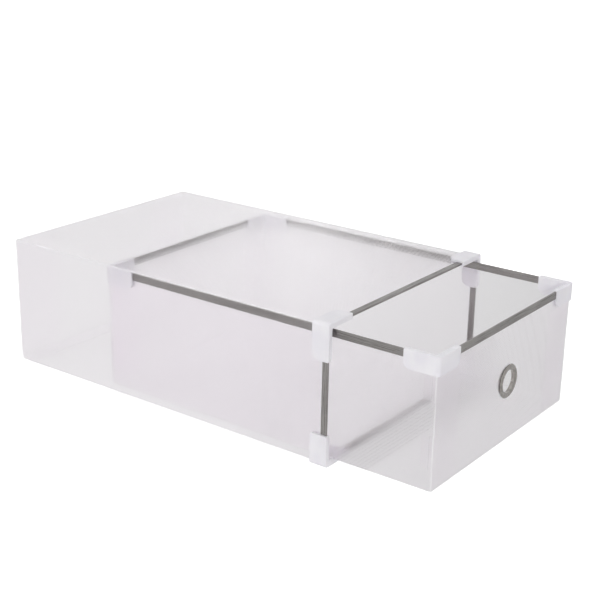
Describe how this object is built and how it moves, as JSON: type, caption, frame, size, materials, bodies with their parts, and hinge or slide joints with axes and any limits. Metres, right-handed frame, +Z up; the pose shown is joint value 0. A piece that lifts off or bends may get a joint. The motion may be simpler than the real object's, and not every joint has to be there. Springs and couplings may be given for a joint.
{
  "type": "drawer shoe box",
  "caption": "Frosted plastic shoe box: a sleeve closed at the rear holds a slide-out drawer with a metal finger eyelet, steel-edged rims and moulded corners.",
  "frame": {"origin": "bottom centre of the box as it rests with the drawer part open: on the plane of the feet's soles, midway between the left and right connectors, midway between the drawer's front and the sleeve's rear", "axes": "+Z up, the drawer's front faces -Y and it opens along -Y, +X to the right seen from behind the drawer's front panel looking along +Y"},
  "size_m": [0.2054, 0.3928, 0.1069],
  "materials": {
    "frosted_sheet": "frosted, translucent",
    "steel_strip": "brushed along its length",
    "moulded_connector": "satin, milky",
    "eyelet_metal": "satin"
  },
  "bodies": {
    "case": {"sleeve_sheet": "frosted_sheet", "sleeve_strip_top": "steel_strip", "sleeve_strip_bottom": "steel_strip", "sleeve_strip_left": "steel_strip", "sleeve_strip_right": "steel_strip", "sleeve_connector_top_left": "moulded_connector", "sleeve_connector_top_right": "moulded_connector", "sleeve_foot_left": "moulded_connector", "sleeve_foot_right": "moulded_connector"},
    "drawer": {"drawer_sheet": "frosted_sheet", "drawer_strip_front": "steel_strip", "drawer_strip_back": "steel_strip", "drawer_strip_left": "steel_strip", "drawer_strip_right": "steel_strip", "drawer_connector_front_left": "moulded_connector", "drawer_connector_front_right": "moulded_connector", "drawer_connector_back_left": "moulded_connector", "drawer_connector_back_right": "moulded_connector", "eyelet": "eyelet_metal", "eyelet_washer": "eyelet_metal"}
  },
  "joints": [
    {"name": "drawer_slide", "type": "slide", "parent": "case", "child": "drawer", "axis": [0, -1, 0], "range_m": [-0.0815, 0.218]}
  ]
}
